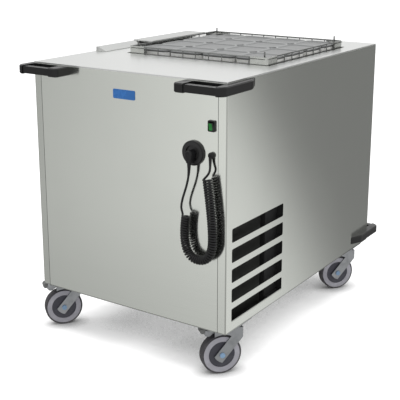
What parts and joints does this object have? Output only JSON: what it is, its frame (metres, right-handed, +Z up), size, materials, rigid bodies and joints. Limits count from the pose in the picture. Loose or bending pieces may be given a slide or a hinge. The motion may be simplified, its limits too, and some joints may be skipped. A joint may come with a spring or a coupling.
{
  "type": "refrigerated basket dispenser",
  "caption": "Stainless catering trolley with a refrigerated well, a sprung platform that keeps a wire basket of covered bowls level with the worktop, swivel castors and a curly mains cord.",
  "frame": {"origin": "on the floor under the middle of the overall box", "axes": "+Z up, +Y from the front panel to the rear, +X to the right seen from the front"},
  "size_m": [0.768, 1.112, 0.938],
  "materials": {
    "brushed_steel": "brushed stainless",
    "inner_steel": "plain stainless",
    "wire": "polished stainless wire",
    "zinc": "zinc plated",
    "black_plastic": "moulded, satin",
    "grey_plastic": "moulded, satin",
    "green_plastic": "lit rocker",
    "tyre": "non-marking rubber",
    "cord": "cord sheath",
    "foam": "insulation board",
    "copper": "pipe",
    "fins": "finned coil",
    "black_metal": "enamel",
    "bowl": "covered bowl"
  },
  "bodies": {
    "body": {"base_pan": "inner_steel", "left_panel": "brushed_steel", "right_panel": "brushed_steel", "front_panel": "brushed_steel", "rear_panel": "brushed_steel", "top_deck": "brushed_steel", "well_liner": "inner_steel", "guide_rods": "inner_steel", "guide_brackets": "inner_steel", "lift_springs": "inner_steel", "air_outlet_hood": "brushed_steel", "air_deflector": "brushed_steel", "corner_handles": "black_plastic", "corner_bumpers": "black_plastic", "switch_bezel": "black_plastic", "parking_socket": "black_plastic", "cable_gland": "black_plastic", "plug": "black_plastic", "plug_lead": "cord", "gland_lead": "cord", "cord_coil": "cord", "castor_plates": "zinc", "insulation": "foam", "partition_wall": "inner_steel", "compressor": "black_metal", "condenser": "fins", "fan_shroud": "inner_steel", "fan_motors": "black_metal", "evaporator": "fins", "evaporator_fan_housing": "inner_steel", "refrigerant_pipes": "copper", "drip_tray": "inner_steel", "thermostat": "black_plastic"},
    "platform": {"platform": "inner_steel", "carriage": "inner_steel"},
    "basket": {"basket_walls": "wire", "basket_floor": "wire", "basket_corners": "wire", "portion_bowls": "bowl"},
    "rocker": {"rocker": "green_plastic"},
    "condenser_fan": {"condenser_fan": "black_plastic"},
    "evaporator_fan": {"evaporator_fan": "black_plastic"},
    "castor_front_left": {"fork_front_left": "zinc", "axle_front_left": "zinc"},
    "wheel_front_left": {"wheel_front_left": "grey_plastic", "tyre_front_left": "tyre"},
    "castor_front_right": {"fork_front_right": "zinc", "axle_front_right": "zinc"},
    "wheel_front_right": {"wheel_front_right": "grey_plastic", "tyre_front_right": "tyre"},
    "castor_rear_left": {"fork_rear_left": "zinc", "axle_rear_left": "zinc"},
    "wheel_rear_left": {"wheel_rear_left": "grey_plastic", "tyre_rear_left": "tyre"},
    "castor_rear_right": {"fork_rear_right": "zinc", "axle_rear_right": "zinc"},
    "wheel_rear_right": {"wheel_rear_right": "grey_plastic", "tyre_rear_right": "tyre"},
    "pedal_front_left": {"brake_pedal_front_left": "zinc"},
    "pedal_front_right": {"brake_pedal_front_right": "zinc"}
  },
  "joints": [
    {"name": "platform_lift", "type": "slide", "parent": "body", "child": "platform", "axis": [0, 0, 1], "range_m": [-0.4, 0], "stiffness_N_per_m": 990, "springref_m": 0.2, "deforming": ["lift_springs"]},
    {"name": "basket_lift", "type": "slide", "parent": "platform", "child": "basket", "axis": [0, 0, 1], "range_m": [0, 0.2]},
    {"name": "rocker_tilt", "type": "hinge", "parent": "body", "child": "rocker", "pos_m": [0.31398, -0.501, 0.775], "axis": [1, 0, 0], "range_deg": [-20, 0]},
    {"name": "condenser_fan_spin", "type": "hinge", "parent": "body", "child": "condenser_fan", "pos_m": [0.26848, -0.37, 0.32375], "axis": [1, 0, 0], "continuous": true},
    {"name": "evaporator_fan_spin", "type": "hinge", "parent": "body", "child": "evaporator_fan", "pos_m": [-0.26552, 0.092, 0.463], "axis": [0, 1, 0], "continuous": true},
    {"name": "swivel_front_left", "type": "hinge", "parent": "body", "child": "castor_front_left", "pos_m": [-0.30702, -0.398, 0.148], "axis": [0, 0, 1], "continuous": true},
    {"name": "roll_front_left", "type": "hinge", "parent": "castor_front_left", "child": "wheel_front_left", "pos_m": [-0.33093, -0.42753, 0.0625], "axis": [0.7771, -0.6293, 0], "continuous": true},
    {"name": "swivel_front_right", "type": "hinge", "parent": "body", "child": "castor_front_right", "pos_m": [0.32298, -0.398, 0.148], "axis": [0, 0, 1], "continuous": true},
    {"name": "roll_front_right", "type": "hinge", "parent": "castor_front_right", "child": "wheel_front_right", "pos_m": [0.29907, -0.42753, 0.0625], "axis": [0.7771, -0.6293, 0], "continuous": true},
    {"name": "swivel_rear_left", "type": "hinge", "parent": "body", "child": "castor_rear_left", "pos_m": [-0.30702, 0.398, 0.148], "axis": [0, 0, 1], "continuous": true},
    {"name": "roll_rear_left", "type": "hinge", "parent": "castor_rear_left", "child": "wheel_rear_left", "pos_m": [-0.33093, 0.36847, 0.0625], "axis": [0.7771, -0.6293, 0], "continuous": true},
    {"name": "swivel_rear_right", "type": "hinge", "parent": "body", "child": "castor_rear_right", "pos_m": [0.32298, 0.398, 0.148], "axis": [0, 0, 1], "continuous": true},
    {"name": "roll_rear_right", "type": "hinge", "parent": "castor_rear_right", "child": "wheel_rear_right", "pos_m": [0.29907, 0.36847, 0.0625], "axis": [0.7771, -0.6293, 0], "continuous": true},
    {"name": "brake_front_left", "type": "hinge", "parent": "castor_front_left", "child": "pedal_front_left", "pos_m": [-0.32653, -0.42209, 0.137], "axis": [0.7771, -0.6293, 0], "range_deg": [0, 12]},
    {"name": "brake_front_right", "type": "hinge", "parent": "castor_front_right", "child": "pedal_front_right", "pos_m": [0.30347, -0.42209, 0.137], "axis": [0.7771, -0.6293, 0], "range_deg": [0, 12]}
  ]
}
